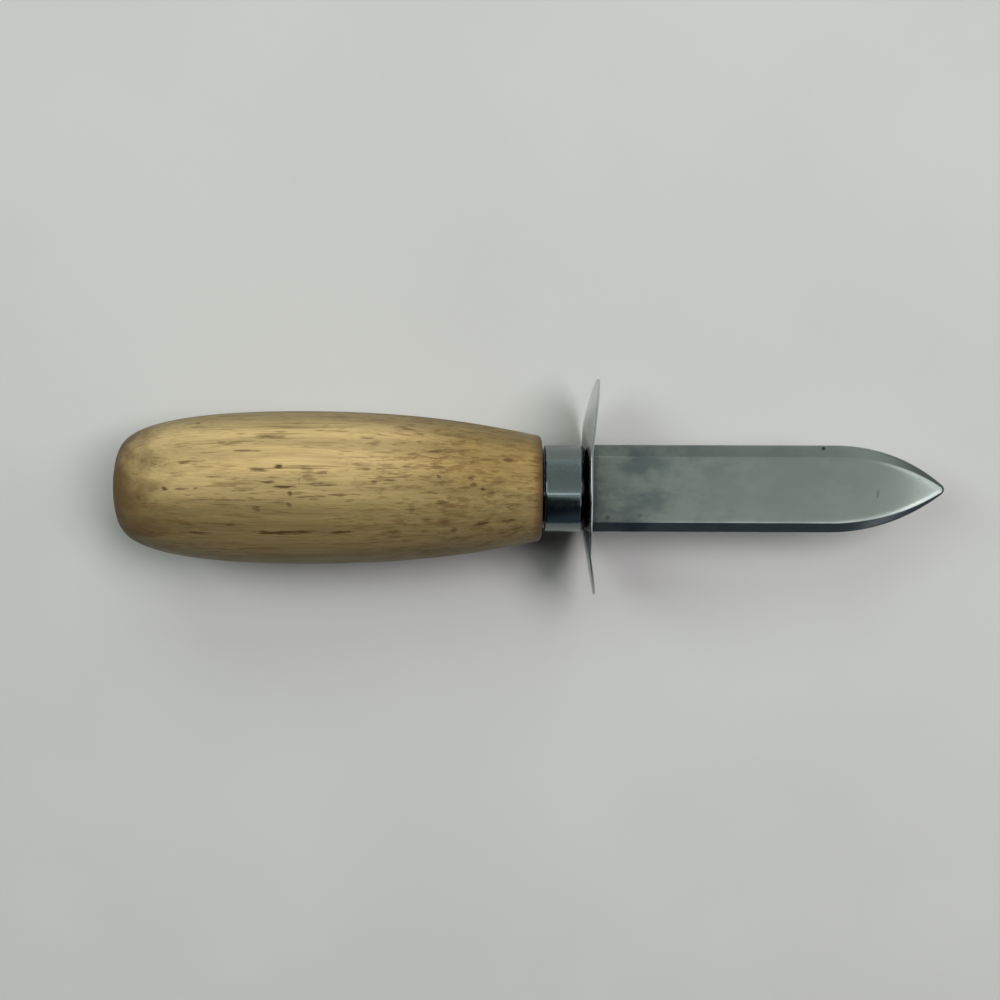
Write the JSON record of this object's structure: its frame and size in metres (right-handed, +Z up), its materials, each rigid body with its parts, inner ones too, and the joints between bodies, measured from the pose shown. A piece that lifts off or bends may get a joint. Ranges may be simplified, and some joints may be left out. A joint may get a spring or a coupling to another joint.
{
  "type": "oyster knife",
  "caption": "Oyster knife with a turned wooden handle, a drawn steel ferrule, an oval hand guard whose wings are bent forwards, and a wide lancet blade with a bevel all round.",
  "frame": {"origin": "on the table under the middle of the knife's length, as the knife lies on its belly and its guard's rim", "axes": "+X from the butt to the blade's point, +Y across the blade's edges, +Z up, square to the blade's flats"},
  "size_m": [0.16, 0.043, 0.0298],
  "materials": {
    "wood": "thin satin varnish over pale open-pored hardwood, worn and grubby at the butt",
    "ferrule_steel": "polished drawn steel cap",
    "guard_steel": "satin stainless sheet, bent",
    "blade_steel": "satin ground flats, brighter bevels",
    "resin": "dull cutler's resin"
  },
  "bodies": {
    "root": {"handle": "wood", "ferrule": "ferrule_steel", "guard": "guard_steel", "blade": "blade_steel", "tang_resin": "resin"}
  },
  "joints": []
}
